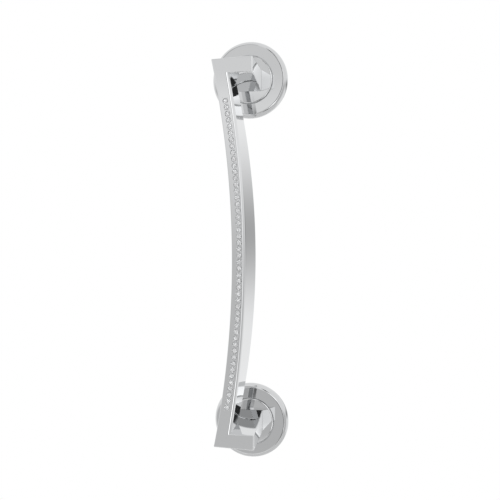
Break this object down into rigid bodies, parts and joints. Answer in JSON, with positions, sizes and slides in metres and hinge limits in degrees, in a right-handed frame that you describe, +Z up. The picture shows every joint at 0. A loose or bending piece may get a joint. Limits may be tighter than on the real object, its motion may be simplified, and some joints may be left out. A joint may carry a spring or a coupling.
{
  "type": "suction grab bar",
  "caption": "Slim bowed chrome grab bar with a crystal-set front face, standing on two round twist-lock suction bases.",
  "frame": {"origin": "on the wall plane, midway between the centres of the two suction bases", "axes": "+Z up along the bar, +Y into the wall, the bar stands off towards -Y, +X to the right of a person facing the wall"},
  "size_m": [0.0774, 0.0724, 0.4274],
  "materials": {
    "chrome": "mirror-polished chrome plate",
    "crystal": "clear faceted crystal, silvered behind",
    "rubber": "matt moulded rubber",
    "seal_rubber": "matt moulded rubber",
    "nylon": "glass-filled nylon, fine texture",
    "acetal": "natural acetal, satin",
    "steel": "plain stainless steel",
    "spring_steel": "drawn stainless wire"
  },
  "bodies": {
    "bar": {"handle_casting": "chrome", "crystal_strip": "crystal", "upper_boss": "chrome", "upper_base_core": "nylon", "upper_suction_cup": "rubber", "upper_return_spring": "spring_steel", "upper_wiper_ring": "seal_rubber", "upper_detent_spring": "spring_steel", "upper_detent_ball": "steel", "upper_post_screw_a": "steel", "upper_post_screw_b": "steel", "upper_core_screw_1": "steel", "upper_core_screw_2": "steel", "upper_core_screw_3": "steel", "upper_core_screw_4": "steel", "lower_boss": "chrome", "lower_base_core": "nylon", "lower_suction_cup": "rubber", "lower_return_spring": "spring_steel", "lower_wiper_ring": "seal_rubber", "lower_detent_spring": "spring_steel", "lower_detent_ball": "steel", "lower_post_screw_a": "steel", "lower_post_screw_b": "steel", "lower_core_screw_1": "steel", "lower_core_screw_2": "steel", "lower_core_screw_3": "steel", "lower_core_screw_4": "steel"},
    "upper_collar": {"upper_twist_collar": "chrome", "upper_cam_ring": "acetal"},
    "upper_stem": {"upper_draw_stem": "steel", "upper_lift_yoke": "steel"},
    "lower_collar": {"lower_twist_collar": "chrome", "lower_cam_ring": "acetal"},
    "lower_stem": {"lower_draw_stem": "steel", "lower_lift_yoke": "steel"}
  },
  "joints": [
    {"name": "upper_collar_turn", "type": "hinge", "parent": "bar", "child": "upper_collar", "pos_m": [0, -0.0128, 0.175], "axis": [0, 1, 0], "range_deg": [0, 90]},
    {"name": "upper_stem_draw", "type": "slide", "parent": "bar", "child": "upper_stem", "axis": [0, -1, 0], "range_m": [0, 0.0025], "deforming": ["upper_return_spring", "upper_suction_cup"]},
    {"name": "lower_collar_turn", "type": "hinge", "parent": "bar", "child": "lower_collar", "pos_m": [0, -0.0128, -0.175], "axis": [0, 1, 0], "range_deg": [0, 90]},
    {"name": "lower_stem_draw", "type": "slide", "parent": "bar", "child": "lower_stem", "axis": [0, -1, 0], "range_m": [0, 0.0025], "deforming": ["lower_return_spring", "lower_suction_cup"]}
  ],
  "couplings": [
    {"joint": "upper_stem_draw", "follows": "upper_collar_turn", "m_per_rad": 0.00159},
    {"joint": "lower_stem_draw", "follows": "lower_collar_turn", "m_per_rad": 0.00159}
  ]
}
